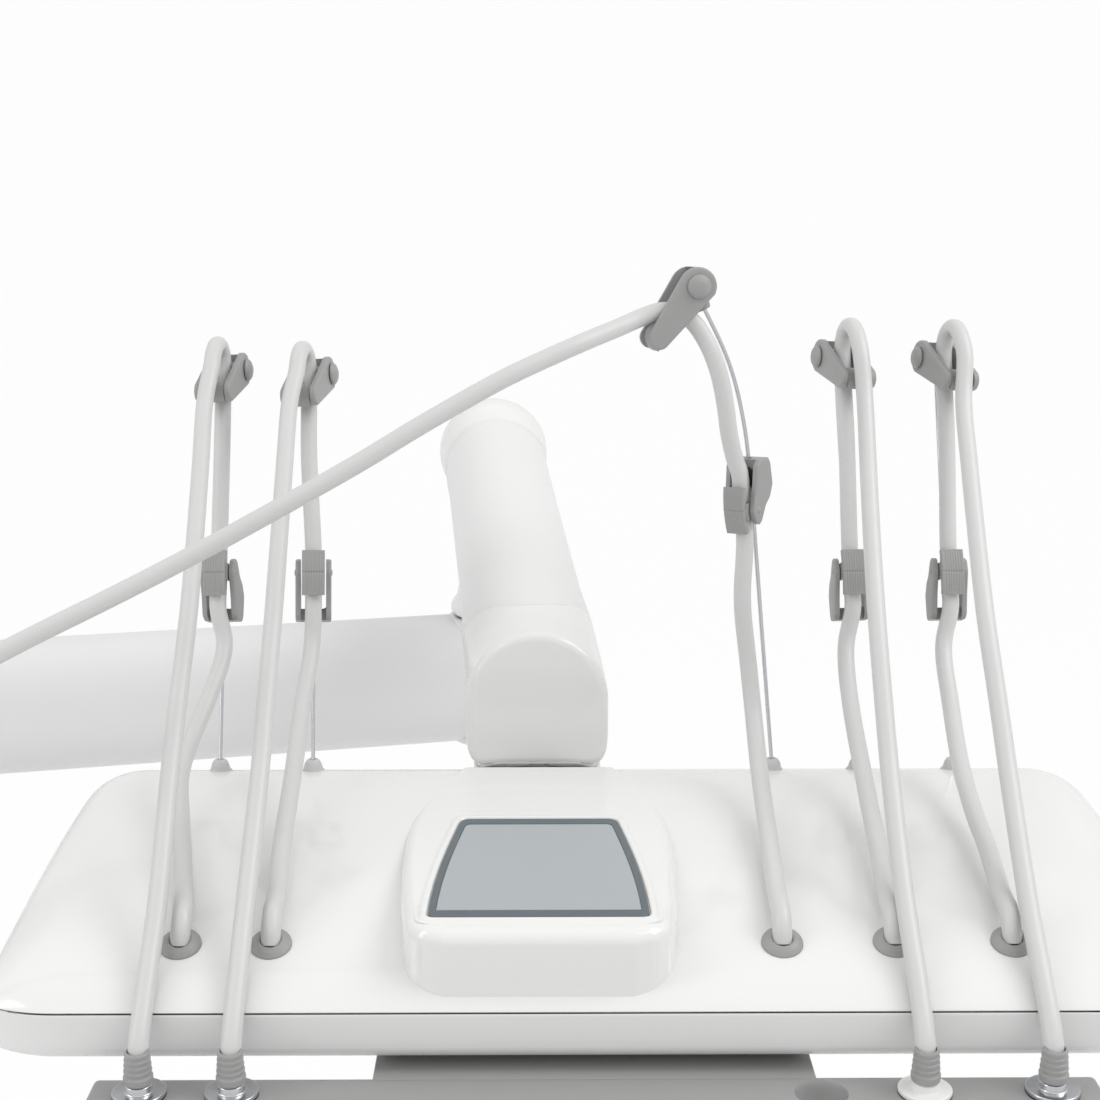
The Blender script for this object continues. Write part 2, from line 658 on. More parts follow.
def build_knuckle():
    outline = [(x, z, 0) for x, z in arc(KNUCKLE_X, 39.5, 48.5, 0, 180, 60)]
    outline += [(KNUCKLE_X - x, z, r) for x, z, r in FOOT_SIDE]
    outline += [(KNUCKLE_X + x, z, r) for x, z, r in FOOT_SIDE[::-1]]
    outline = resample(rounded(outline, 6, closed=True), 200)
    loops = []
    for s, c in quarter_turn(12):
        face = offset_loop(outline, -FACE_EDGE * (1 - s))
        loops.append([(x, FACE_Y + FACE_EDGE * (1 - c), z) for x, z in face])
    # the sides run back from the edge and swell out to the round of the cover's mouth
    seam = []
    for x, z in outline:
        angle = math.atan2(z - KNUCKLE_Z, x - KNUCKLE_X)
        z_seam = 45.0
        for _ in range(5):
            r = cover_radius(z_seam) - 0.15
            z_seam = drum_z(DRUM_R + 0.1, r * math.sin(angle))
        seam.append((r * math.cos(angle), -r * math.sin(angle), z_seam))
    rim = np.array([(x, FACE_Y + FACE_EDGE, z) for x, z in outline])
    mouth = transform(cover_frame, seam)
    gap = np.linalg.norm(mouth - rim, axis=1, keepdims=True)
    for k in range(1, 15):                            # Hermite blend from rim to mouth
        u = k / 14
        loops.append((2 * u ** 3 - 3 * u ** 2 + 1) * rim
                     + (u ** 3 - 2 * u ** 2 + u) * gap * np.array([0, 1.0, 0])
                     + (-2 * u ** 3 + 3 * u ** 2) * mouth
                     + (u ** 3 - u ** 2) * gap * unit(rearward))
    for share in (0.97, 0.9, 0.75, 0.5, 0.25, 0.05):  # the drum, closing to its middle
        ring = [(x * share, y * share, drum_z(DRUM_R - 0.2, y * share)) for x, y, _ in seam]
        loops.append(transform(cover_frame, ring))
    piece("front_knuckle_body", stack(loops), "gloss_white", "knuckle", "front_knuckle",
          sharp=60)


build_knuckle()

# ---- swivel: a round skirt under the knuckle, in a pocket of the console ----
SKIRT_R, SKIRT_Z = 43.0, -12.4
SKIRT_REACH = 33.0                                    # fore and aft, within the drum's sweep
POCKET_R, POCKET_Z = 44.6, -13.2
WALL_R, WALL_BOTTOM = 46.4, -34
TURNS = np.linspace(0, 2 * math.pi, 145)[:-1]
swivel_frame = shift(KNUCKLE_X, KNUCKLE_Y, 0)


def skirt_loop(r, z):
    loop = []
    for a in TURNS:
        y = max(min(r * math.sin(a), SKIRT_REACH), -SKIRT_REACH)
        drum_under = KNUCKLE_Z - math.sqrt((DRUM_R - 1.3) ** 2 - y ** 2)
        loop.append((KNUCKLE_X + r * math.cos(a), KNUCKLE_Y + y, max(z, drum_under)))
    return loop


def wall_loop(r, z=None):
    """A ring of the pocket's wall; without z it lies just under the console's skin."""
    loop = []
    for a in TURNS:
        y = KNUCKLE_Y + r * math.sin(a)
        height = max(crown(y) - 0.6, WALL_BOTTOM + 0.5) if z is None else z
        loop.append((KNUCKLE_X + r * math.cos(a), y, height))
    return loop


skirt_stations = [(SKIRT_R, -3.5), (SKIRT_R, SKIRT_Z + 0.8), (SKIRT_R - 0.25, SKIRT_Z + 0.25),
                  (SKIRT_R - 0.8, SKIRT_Z)]
skirt_stations += [(r, SKIRT_Z) for r in (38.0, 34.0, 30.0, 27.0, 24.0)]
piece("front_knuckle_skirt", stack([skirt_loop(r, z) for r, z in skirt_stations]),
      "gloss_white", "knuckle", "front_knuckle", sharp=50)
piece("swivel_boss", place(swivel_frame, lathe([
    (24, -40), (44.3, -40), (44.3, POCKET_Z - 1.5), (43.5, POCKET_Z), (24, POCKET_Z)], 96)),
      "gloss_white", "console")
wall = [wall_loop(WALL_R, WALL_BOTTOM), wall_loop(POCKET_R, WALL_BOTTOM),
        wall_loop(POCKET_R), wall_loop(WALL_R)]
piece("swivel_pocket_wall", stack(wall + [wall[0]], (False, False)), "gloss_white", "console",
      sharp=40, weld=0.001)


# ---- console mouldings ----
def axis_points(half, r_low, r_high, n_mid, n_corner):
    """Stations along one axis of the console, closer together over its corners."""
    low = np.linspace(-half, -half + r_low, n_corner + 1)
    mid = np.linspace(-half + r_low, half - r_high, n_mid + 1)
    high = np.linspace(half - r_high, half, n_corner + 1)
    return np.concatenate([low, mid[1:-1], high])


def console_surface():
    """A box with elliptical corners, its top bent to the crown."""
    half_x, half_y, half_z = half = np.array([CONSOLE_HALF_X, CONSOLE_HALF_Y,
                                              -CONSOLE_BOTTOM / 2])
    along_x = axis_points(half_x, CORNER_X, CORNER_X, 44, 10)
    along_y = axis_points(half_y, CORNER_Y, CORNER_Y, 44, 8)
    along_z = axis_points(half_z, CORNER_BOTTOM, CORNER_TOP, 6, 9)
    box, faces = [], []

    def add_side(us, vs, point):
        base, n = len(box), len(vs)
        box.extend(point(u, v) for u in us for v in vs)
        for i in range(len(us) - 1):
            for j in range(n - 1):
                first = base + i * n + j
                faces.append([first, first + n, first + n + 1, first + 1])

    for side in (-1, 1):
        add_side(along_x, along_y, lambda u, v: (u, v, side * half_z))
        add_side(along_x, along_z, lambda u, v: (u, side * half_y, v))
        add_side(along_y, along_z, lambda u, v: (side * half_x, u, v))
    points = []
    for p in np.array(box):
        r = np.array([CORNER_X, CORNER_Y, CORNER_TOP if p[2] > 0 else CORNER_BOTTOM])
        inner = np.sign(p) * np.minimum(np.abs(p), half - r)
        outward = (p - inner) / r
        length = np.linalg.norm(outward)
        if length > 1e-9:
            p = inner + r * outward / length
        x, y, z = CONSOLE_MID[0] + p[0], CONSOLE_MID[1] + p[1], p[2] - half_z
        # the crown fades out down to 4 below the split
        fade = min(max((z - SPLIT_Z + 4) / (-SPLIT_Z + 4), 0), 1)
        points.append((x, y, z + crown(y) * fade))
    return np.array(points), faces


def build_moulding(name, surface, cut_z, is_top, mat, replaced):
    """Keeps the part of the console's surface above or below cut_z and gives it a wall."""
    mesh = bpy.data.meshes.new(name)
    mesh.from_pydata(to_m(surface[0]).tolist(), [], surface[1])
    bm = bmesh.new()
    bm.from_mesh(mesh)
    bmesh.ops.remove_doubles(bm, verts=bm.verts, dist=2e-6)
    bmesh.ops.recalc_face_normals(bm, faces=bm.faces)
    bmesh.ops.bisect_plane(bm, geom=bm.verts[:] + bm.edges[:] + bm.faces[:],
                           plane_co=(0, 0, (cut_z + ORIGIN[2]) / 1000), plane_no=(0, 0, 1),
                           clear_inner=is_top, clear_outer=not is_top)
    bm.to_mesh(mesh)
    bm.free()
    ob = bpy.data.objects.new(name, mesh)
    bpy.context.scene.collection.objects.link(ob)
    solid = ob.modifiers.new("wall", "SOLIDIFY")
    solid.thickness, solid.offset = 0.0032, -1
    if is_top:                                        # round pocket for the knuckle's skirt
        pocket = [(0, POCKET_Z - 26), (POCKET_R, POCKET_Z - 26), (POCKET_R, 30), (0, 30)]
        hole = subtract(ob, place(swivel_frame, lathe(pocket, 96)))
    add_bevel(ob, 0.9, segments=3, angle=60)
    bake(ob)
    if is_top:
        bpy.data.objects.remove(hole)
    finish(ob, mat, "console", replaced, sharp=50)


console = console_surface()
build_moulding("console_top_moulding", console, SPLIT_Z, True, "gloss_white",
               "console_top_shell")
build_moulding("console_base_moulding", console, SPLIT_Z - 0.9, False, "cover_white",
               "console_base_tray")

# ---- control pod: one skin from its foot, over a soft shoulder, up a step and down into the
# keypad's recess ----
# (x, y, rounding) down the right side, from back to front
POD_SIDE = [(50, 6, 4), (55, 0, 10), (63.7, -17, 40), (74.4, -50, 60), (80.6, -85, 60),
            (81.8, -111, 60), (80.5, -150, 60), (77.8, -194, 60), (73.5, -226, 22),
            (64, -236, 16), (52, -240, 14)]
POD_POINTS, POD_MID_Y, POD_FOOT_Z = 320, -160.0, -44
POD_RIM, POD_ROUND = 0.9, 8.0                         # shoulder's height and rounding
KEYPAD_BACK, KEYPAD_FRONT = -87.0, -222.0
KEYPAD_HALF_BACK, KEYPAD_HALF_FRONT = 48.0, 61.5      # half widths
RAYS = np.linspace(-math.pi, math.pi, 721)[:-1]
# (growth of the keypad's outline, height above the pod's top) from the step into the recess
KEYPAD_STEP = [(6.5, 0.95), (5.2, 1.05), (4.4, 1.4), (3.7, 1.9), (2.9, 2.2), (1.9, 2.25),
               (1.0, 2.05), (0.4, 1.6), (0.15, 1.0), (0.0, 0.3), (-6.0, 0.2)]


def mirrored_loop(side, steps):
    """Closes an outline from the rows of its right side."""
    rows = [(0, side[0][1], 0)] + side + [(0, side[-1][1], 0)]
    rows += [(-x, y, r) for x, y, r in side[::-1]]
    return resample(rounded(rows, steps, closed=True), POD_POINTS)


def keypad_loop(grow, corner=7.0, end_inset=0):
    side = []
    for i in range(13):
        t = i / 12
        half = KEYPAD_HALF_BACK
        half += (KEYPAD_HALF_FRONT - KEYPAD_HALF_BACK) * math.sin(t * math.pi / 2)
        y = KEYPAD_BACK + (KEYPAD_FRONT - KEYPAD_BACK) * t
        if i == 0:
            y += grow - end_inset
        elif i == 12:
            y -= grow - end_inset
        side.append((half + grow, y, corner if i in (0, 12) else 20))
    return mirrored_loop(side, 7)


def membrane_loop(grow):
    return keypad_loop(grow, corner=4, end_inset=4.2)


def lift(loop, height):
    """Lays an outline over the pod's sloping top."""
    return [(x, y, 3.0 + 0.04 * y + height) for x, y in loop]


def by_ray(loop):
    """The same outline, sampled where rays from the middle of the pod cross it."""
    q = resample(loop, 4000)
    angle = np.arctan2(q[:, 1] - POD_MID_Y, q[:, 0])
    radius = np.hypot(q[:, 0], q[:, 1] - POD_MID_Y)
    order = np.argsort(angle)
    r = np.interp(RAYS, angle[order], radius[order], period=2 * math.pi)
    return np.column_stack([r * np.cos(RAYS), r * np.sin(RAYS) + POD_MID_Y])


pod_loop = mirrored_loop(POD_SIDE, 8)
pod_rays = by_ray(pod_loop)
pod_skin = [[(x, y, POD_FOOT_Z) for x, y in pod_rays], lift(pod_rays, POD_RIM - POD_ROUND)]
for s, c in quarter_turn(12)[1:]:
    pod_skin.append(lift(by_ray(offset_loop(pod_loop, -POD_ROUND * (1 - c))),
                         POD_RIM - POD_ROUND + POD_ROUND * s))
for grow, height in KEYPAD_STEP:
    pod_skin.append(lift(by_ray(keypad_loop(grow, 7.0 + max(grow, 0))), height))
piece("control_pod_body", stack(pod_skin, (False, True)), "gloss_white", "console",
      "control_pod", sharp=50)
# slate border with a soft outer edge, and the membrane inside it
border = [lift(keypad_loop(grow), z) for grow, z in ((-0.5, 0.4), (-0.5, 1.2), (-0.9, 1.6))]
border += [lift(membrane_loop(grow), z) for grow, z in ((-4.2, 1.7), (-4.6, 1.4), (-4.6, 0.4))]
piece("keypad_border", stack(border, (False, False)), "slate", "console", "keypad_bezel",
      sharp=30)
membrane = [lift(membrane_loop(g), z) for g, z in ((-4.7, 0.4), (-4.7, 1.25), (-5.1, 1.5))]
piece("keypad_membrane", stack(membrane), "keypad_grey", "console", "keypad_panel", sharp=8)

# ---- instrument rail: a bar with a countersunk hole for each instrument ----
RAIL_OVERHANG = 28                                    # past the first and last holes
rail_outline = fillet([(-288, -100), (-250, -100), (-250, RAIL_TOP), (-288, RAIL_TOP)],
                      5, closed=True)
rail_bar = prism_x(rail_outline, PARK_X[-1] - PARK_X[0] + 2 * RAIL_OVERHANG, edge=3, steps=4)
rail_hole = lathe([(0, -120), (12.9, -120), (12.9, -86.2), (14.6, RAIL_TOP + 0.2),
                   (14.6, -70), (0, -70)], 40)
piece("instrument_rail_bar", place(shift((PARK_X[0] + PARK_X[-1]) / 2, 0, 0), rail_bar),
      "clip_grey", "console", "instrument_rail",
      cutters=[place(shift(x, PARK_Y, 0), rail_hole) for x in PARK_X], sharp=40)
piece("instrument_rail_bracket", block(-90, 150, -254, -180, -92, RAIL_TOP),
      "clip_grey", "console", bevel=1.2)
SCREWS = [(-230, -150), (-230, 40), (30, 60), (290, 40), (290, -150), (30, -160)]
screw = lathe([(0, -80.6), (2.2, -80.6), (2.4, -81.4), (5.2, -81.6), (5.6, -80.8), (5.6, -79),
               (0, -79)], 24)
piece("base_screws", merge(*[place(shift(x, y, 0), screw) for x, y in SCREWS]),
      "screw", "console", sharp=30)

# ---- whip arms ----
# (y, z, rounding) of the guide's cheeks
CHEEK = [(-15, 17, 1.5), (-17, 9, 3), (-12, -6, 6), (-9, -19, 3), (-5, -22, 2), (5, -22, 2),
         (7, -18, 2), (8, -4, 4), (3.5, 4, 5), (-2, 8, 4), (-8, 17, 2), (-11, 19, 1.5)]
# lower half of the head's pin, mirrored for the upper
PIN_HALF = [(0, -17, 0), (3.0, -16.8, 3), (6.2, -15.6, 4), (7.6, -14.0, 2), (7.5, -12.9, 0.5),
            (3, -12.9, 0), (3, -7.8, 0), (5.6, -7.8, 0.5)]


def ridged_band():
    """The guide's curved strap, whose outer face carries fine ridges along its length."""
    y_mid, z_mid, r_out, r_in = 40, 8, 63, 60
    start, end, steps = 166, 194, 48
    width, edge, ridges, depth = 15.2, 0.7, 9, 0.28
    xs = np.linspace(-width / 2, width / 2, ridges * 6 + 1)
    rows = []
    for i in range(steps + 1):
        a = math.radians(start + (end - start) * i / steps)
        near_end = min(i, steps - i) / steps <= 0.05
        notch = 0.55 * math.exp(-((i / steps - 0.5) / 0.018) ** 2)
        outer = []
        for x in xs:
            margin = width / 2 - abs(x)
            drop = edge - math.sqrt(max(edge ** 2 - max(edge - margin, 0) ** 2, 0))
            ripple = 0
            if margin > 1.2 and not near_end:
                ripple = depth * 0.5 * (1 + math.cos(2 * math.pi * ridges * (x / width)))
            r = r_out - drop - ripple - notch
            outer.append((x, y_mid + r * math.cos(a), z_mid + r * math.sin(a)))
        inner = [(x, y_mid + r_in * math.cos(a), z_mid + r_in * math.sin(a))
                 for x in xs[::-1]]
        rows.append(outer + inner)
    return stack(rows)


def build_guide(number, guide_frame):
    body = f"guide_{number}"
    outline = resample(rounded(CHEEK, closed=True), 90)
    cuts = [block(-8.4, 8.4, -30, 30, -14, 40), block(-8.4, 8.4, -30, -4.6, -40, 40),
            lathe([(0, -40), (2.2, -40), (2.2, 0), (0, 0)], 20)]
    piece(f"guide_{number}_stirrup", place(guide_frame, prism_x(outline, 24, edge=1.3, steps=4)),
          "clip_grey", body, f"guide_stirrup_{number}",
          cutters=[place(guide_frame, cut) for cut in cuts], sharp=40)
    strap = merge(ridged_band(), block(-7.6, -6.1, -21.0, -9, 4, 15),
                  block(6.1, 7.6, -21.0, -9, 4, 15))
    piece(f"guide_{number}_strap", place(guide_frame, strap), "clip_grey", body,
          f"guide_strap_{number}", sharp=45)
    # small rivets where the strap's ears meet the cheeks
    rivet = lathe([(0, 12.7), (1.6, 12.6), (2.4, 12.0), (2.4, 11.2), (0, 11.2)], 20)
    ears = guide_frame @ shift(0, -11.5, 9.5)
    rivets = [place(ears @ side, rivet) for side in (ALONG_X @ turn_x(180), ALONG_X)]
    piece(f"guide_{number}_rivets", merge(*rivets), "clip_grey", body, sharp=40)


def build_head(number, head_frame, nod):
    pin = rounded(PIN_HALF + [(r, -z, rounding) for r, z, rounding in PIN_HALF[::-1]], 4)
    socket = lathe([(0, -16), (4.4, -16), (4.9, -14), (4.9, -5), (0, -5)], 28)
    piece(f"head_{number}_pin", merge(place(head_frame @ ALONG_X, lathe(pin, 40)),
                                      place(head_frame, socket)),
          "clip_grey", f"whip_{number}", sharp=42)
    nod_frame = head_frame @ turn_x(nod)
    outline = arc(0, 0, 12, -70, 100, 24) + arc(-40, -4, 7, 110, 262, 14)
    outline = resample(fillet(outline, 2.0, 3, closed=True), 110)
    opening = [(7.4, -14), (7.4, -40), (-60, -40), (-60, 40), (7.4, 40)]
    bore = lathe([(0, -20), (3.3, -20), (3.3, 20), (0, 20)], 28)
    piece(f"head_{number}_stirrup", place(nod_frame, prism_x(outline, 24.8, edge=1.5, steps=4)),
          "clip_grey", f"head_{number}", f"head_stirrup_{number}",
          cutters=[place(nod_frame, prism_x(opening, 17, edge=0.01, steps=1)),
                   place(nod_frame @ ALONG_X, bore)], sharp=40)
    strap = arc(-37, -7, 9, -20, 200, 36) + arc(-37, -7, 6.4, 200, -20, 36)
    piece(f"head_{number}_strap", place(nod_frame, prism_x(strap, 15.4, edge=0.6, steps=3)),
          "clip_grey", f"head_{number}", f"head_strap_{number}", sharp=45)


def build_whip(number, whip):
    """Makes one whip arm and returns the frames of its guide and its head."""
    boot_z = crown(FOOT_Y)
    foot = np.array([whip["foot_x"], FOOT_Y, boot_z + 4.1])
    hub = np.array(whip["hub"], float)
    if number == DRAWN:
        foot_dir = unit(BENT_ROD[0] - foot)
        hub_dir = unit(hub - BENT_ROD[-1])
        path = catmull([foot, foot + foot_dir * 60, foot + foot_dir * 130, *BENT_ROD,
                        hub - hub_dir], 10)
    else:
        foot_dir = hub_dir = unit(hub - foot)
        end = hub - hub_dir
        path = np.array([foot + (end - foot) * t for t in np.linspace(0, 1, 12)])
    foot_ball = place(shift(*foot), lathe(arc(0, 0, 3.6, -90, 90, 12), 24))
    piece(f"whip_{number}_wire", merge(stack(rings_along(path, ROD_R, 16)), foot_ball),
          "steel", f"whip_{number}", f"whip_rod_{number}")
    # rubber boot on the console, open round the wire
    boot = rounded([(8.2, -2.5, 0), (8.2, -0.6, 1), (6.6, 1.0, 1), (5.4, 5.2, 2),
                    (4.0, 7.4, 2), (2.4, 7.8, 0.6), (1.9, 6.6, 0)])
    piece(f"whip_{number}_boot", place(shift(foot[0], foot[1], boot_z), lathe(boot, 32)),
          "boot", "console")
    guide_frame = frame_along(foot + foot_dir * whip["guide"], foot_dir, whip["yaw"])
    if number == DRAWN:                               # its guide sits upside down
        guide_frame = guide_frame @ HALF_TURN_Y
    build_guide(number, guide_frame)
    head_frame = frame_along(hub, hub_dir, whip["head_yaw"])
    build_head(number, head_frame, whip["nod"])
    return guide_frame, head_frame


whip_frames = [build_whip(number, whip) for number, whip in enumerate(WHIPS, 1)]

# ---- hoses: cut into strands where they are held, so that each follows what holds it ----
PER_POINT = 12                                        # path steps between listed points
EXIT_Z = crown(-204)                                  # console's top where the hoses leave it


def blend(ob):
    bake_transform(ob)


def build_sleeve(number, park_x, instrument):
    """Ribbed sleeve where the hose enters the instrument."""
    profile = [(0, -76.2), (7.6, -76.2), (7.9, -75), (7.9, -72.5)]
    for k in range(4):
        z = -71.5 + 3.2 * k
        groove, rib = 7.0 - 0.2 * k, 7.5 - 0.25 * k
        profile += [(groove, z), (groove, z + 1.2), (rib, z + 1.7), (rib, z + 2.7)]
    profile += [(6.2, -58.4), (5.3, -58.4)]
    piece(f"hose_{number}_sleeve", place(shift(park_x, PARK_Y, 0), lathe(profile, 32)),
          "clip_grey", instrument, sharp=30)


def build_hose(number, whip, guide_frame, head_frame):
    body, exit_x, park_x = f"whip_{number}", whip["exit_x"], whip["park_x"]
    points = [(exit_x, -206, EXIT_Z + 0.5), (exit_x, -204, EXIT_Z + 7),
              (exit_x, -196, EXIT_Z + 15)] + FEED[number - 1][::-1]
    # z in the guide's frame, in the order the hose passes; the second is the guide's middle
    guide_z = (30, 0, -14) if number == DRAWN else (-16, 0, 24)
    middle = (len(points) + 1) * PER_POINT
    points += [transform(guide_frame, (0, -12.0, z))[0] for z in guide_z]
    if number == DRAWN:
        points += DRAWN_RUN
    else:
        over_head = [(-12, -60), (-12.2, -26), (-12.5, -8)]
        over_head += LOOP_LOW if number < DRAWN else LOOP_HIGH
        points += [transform(head_frame, (0, y, z))[0] for y, z in over_head]
        drop = len(points) * PER_POINT                # start of the front strand
        points += DROP[number - 1]
        lip = (len(points) - 1) * PER_POINT           # where it crosses the front lip
        points += [(park_x, -236, -31), (park_x, -262, -54), (park_x, PARK_Y, -66),
                   (park_x, PARK_Y, -74.5)]
    path = relax(catmull(points, PER_POINT), 10)
    rings = rings_along(path, HOSE_R, 28)

    def strand(part, loops, strand_body=None, cap=(False, False)):
        return piece(f"hose_{number}_{part}", stack(loops, cap), "hose_white", strand_body,
                     f"hose_{number}", sharp=80)

    rear = strand("rear_strand", rings[:middle + 1], cap=(True, False))
    blend(rear)
    if number == DRAWN:
        strand("drawn_strand", rings[middle:], body, cap=(False, True))
    else:
        instrument = whip["instrument"]
        strand("head_loop", rings[middle:drop + 1], body)
        front = strand("front_strand", rings[drop:lip + 1])
        blend(front)
        lower = strand("lower_strand", rings[lip:], cap=(False, True))
        blend(lower)
        build_sleeve(number, park_x, instrument)
    grommet = rounded([(5.7, 3.4, 0), (6.8, 3.9, 0.8), (9.4, 2.6, 1), (11.6, 0.9, 0.8),
                       (11.8, -1.0, 0), (5.7, -1.0, 0)])
    tilt = turn_x(math.degrees(math.atan(0.4)))       # leans towards the front
    piece(f"hose_{number}_grommet",
          place(shift(exit_x, -205.4, EXIT_Z + 0.2) @ tilt, lathe(grommet, 40)),
          "clip_grey", "console", sharp=40)


for number, whip in enumerate(WHIPS, 1):
    build_hose(number, whip, *whip_frames[number - 1])

# ---- parked instruments: z 0 is the rail's top ----
COLLAR = [(0, 8, 0), (5, 8, 0.6), (7, 6.5, 1), (7.5, 3, 1), (14.4, 3, 0.8), (14.4, 0.4, 0.8),
          (11.2, 0.4, 0.6)]
syringe_at, turbine_at, _, light_at, motor_at = [shift(x, PARK_Y, RAIL_TOP) for x in PARK_X]


def collared(barrel, rounding=2):
    """Profile of the collar that rests on the rail, and the (r, z) barrel below it."""
    rows = [(r, z, rounding) for r, z in barrel[:-1]] + [(*barrel[-1], 0)]
    return rounded(COLLAR + rows, 4)


def knurl(r, z, count):
    points = []
    for k in range(count):
        points += [(r, z - 1.1 * k), (r - 0.35, z - 1.1 * (k + 0.5))]
    return points


# air and water syringe with two buttons and a thin nozzle
piece("syringe_body", place(syringe_at, lathe(collared([
    (11, -20), (9.6, -46), (9.6, -78), (11, -84), (11, -96), (6.5, -104), (3, -108),
    (2.2, -112), (2, -150), (0, -150)]), 56)),
      "steel", "air_water_syringe_body", "air_water_syringe")
button = lathe([(0, 3), (2.2, 2.7), (2.9, 2.0), (2.9, -2), (0, -2)], 24)
piece("syringe_buttons", merge(*[place(syringe_at @ shift(x, -9.9, -90) @ turn_x(90), button)
                                 for x in (-3.6, 3.6)]),
      "clip_grey", "air_water_syringe_body")
# turbine with a cross head
turbine = collared([(11, -16), (8.6, -28)]) + knurl(8.5, -32, 22)
turbine += [(8, -60), (8.4, -92), (6.4, -108), (5.4, -118), (5.2, -124), (0, -124)]
turbine_head = rounded([(0, -8.5, 0), (4.6, -8.5, 1), (5.6, -6, 1.5), (5.6, 6.5, 1.5),
                        (4.4, 9.4, 1.5), (0, 9.4, 0)])
piece("turbine_body", merge(
    place(turbine_at, lathe(turbine, 56)),
    place(turbine_at @ shift(0, 0, -121) @ ALONG_X, lathe(turbine_head, 40))),
      "steel", "turbine_handpiece_body", "turbine_handpiece")
# curing light with a dark light guide and one button
piece("curing_light_body", place(light_at, lathe(collared([
    (11.4, -18), (11.8, -60), (10.6, -92), (8, -104), (5, -112), (4.2, -117), (0, -117)],
    rounding=3), 56)), "handle_white", "curing_light_body", "curing_light")
piece("curing_light_guide", place(light_at, lathe(rounded([
    (0, -116, 0), (4.0, -116, 0), (4.0, -139.4, 0.4), (3.4, -140, 0.4), (0, -140, 0)]), 32)),
      "lens", "curing_light_body")
piece("curing_light_button", place(light_at @ shift(0, -11.2, -44) @ turn_x(90), lathe([
    (0, 2.6), (3.0, 2.4), (3.8, 1.6), (3.8, -1.5), (0, -1.5)], 28)),
      "clip_grey", "curing_light_body")
# micromotor with a cross head
motor = collared([(11.6, -12), (11.8, -50)]) + knurl(10.6, -54, 8)
motor += [(10, -64), (9, -66), (7.4, -100), (5.6, -112), (0, -112)]
motor_head = rounded([(0, -7.6, 0), (4.2, -7.6, 1), (5, -5.6, 1), (5, 6.4, 1), (4.2, 8.4, 1),
                      (0, 8.4, 0)])
piece("micromotor_body", merge(
    place(motor_at, lathe(motor, 56)),
    place(motor_at @ shift(0, 0, -109) @ ALONG_X, lathe(motor_head, 36))),
      "steel", "micromotor_handpiece_body", "micromotor_handpiece")

# ---- ultrasonic scaler on the drawn-out hose: z runs from the hose's end to the tip ----
scaler_frame = frame_along(DRAWN_RUN[-1], SCALER_DIR, toward=(0, 0, 1.0))
piece("scaler_coupling_body", place(scaler_frame, lathe(rounded([
    (0, 0.6, 0), (5.9, 0.6, 0.4), (6.6, 1.4, 0.6), (7.8, 4, 0.8), (8.1, 5, 0.5), (7.6, 6, 0.5),
    (8.2, 7.2, 0.5), (7.8, 8.4, 0.5), (8.4, 10, 1), (8.4, 21, 0.4), (0, 21, 0)]))),
      "clip_grey", "whip_3", "scaler_hose_coupling")
handle = [(0, 21.5), (8.4, 21.5), (8.8, 23), (9.4, 28), (9.8, 50), (9.4, 70)]
for k in range(9):                                    # grip grooves
    z = 74 + 3.2 * k
    r = 9.35 - 0.03 * k
    handle += [(r, z), (r, z + 1.8), (r - 0.5, z + 2.2), (r - 0.5, z + 2.9)]
handle += [(8.8, 104), (8.5, 108), (0, 108)]
piece("scaler_handle_body", place(scaler_frame, lathe(handle, 56)), "handle_white", "scaler",
      "scaler_handle", sharp=32)
piece("scaler_light_ring_body", place(scaler_frame, lathe(rounded([
    (0, 108.2, 0), (8.5, 108.2, 0.4), (8.3, 112.6, 0.4), (0, 112.6, 0)]))),
      "light_ring", "scaler", "scaler_light_ring")
piece("scaler_nose_body", place(scaler_frame, lathe(rounded([
    (0, 112.8, 0), (8.1, 112.8, 0.4), (7.4, 121, 6), (5.6, 133, 8), (3.7, 142, 4),
    (3, 144.2, 0.6), (0, 144.2, 0)]))), "clip_grey", "scaler", "scaler_nose_cone")
tip_base = lathe(rounded([(0, 144.3, 0), (2.6, 144.3, 0.3), (2.6, 149, 0.5), (1.9, 151, 0.5),
                          (1.2, 152.4, 0.4), (0, 152.4, 0)]), 24)
tip_path = catmull([(0, 0, 150.5), (0, -0.4, 156), (0, -2.4, 161), (0, -3, 165.5),
                    (0, -0.6, 170), (0, 3.4, 173)], 8)
tip_wire = stack(rings_along(tip_path, np.linspace(1.1, 0.45, len(tip_path)), 14))
piece("scaler_tip_body", place(scaler_frame, merge(tip_base, tip_wire)), "steel", "scaler",
      "scaler_tip")

# ---- CAD pieces that stay shown get their material and a fine edge ----
cad_slots = {s["node"]: s["material_slot"] for s in frame["record"]["subparts"]}
for name, node in frame["nodes"].items():
    if node.hide_render:
        continue
    node.data.materials.clear()
    node.data.materials.append(MAT[cad_slots[name]])
    node.data.polygons.foreach_set("use_smooth", [True] * len(node.data.polygons))
    add_bevel(node, 0.4)


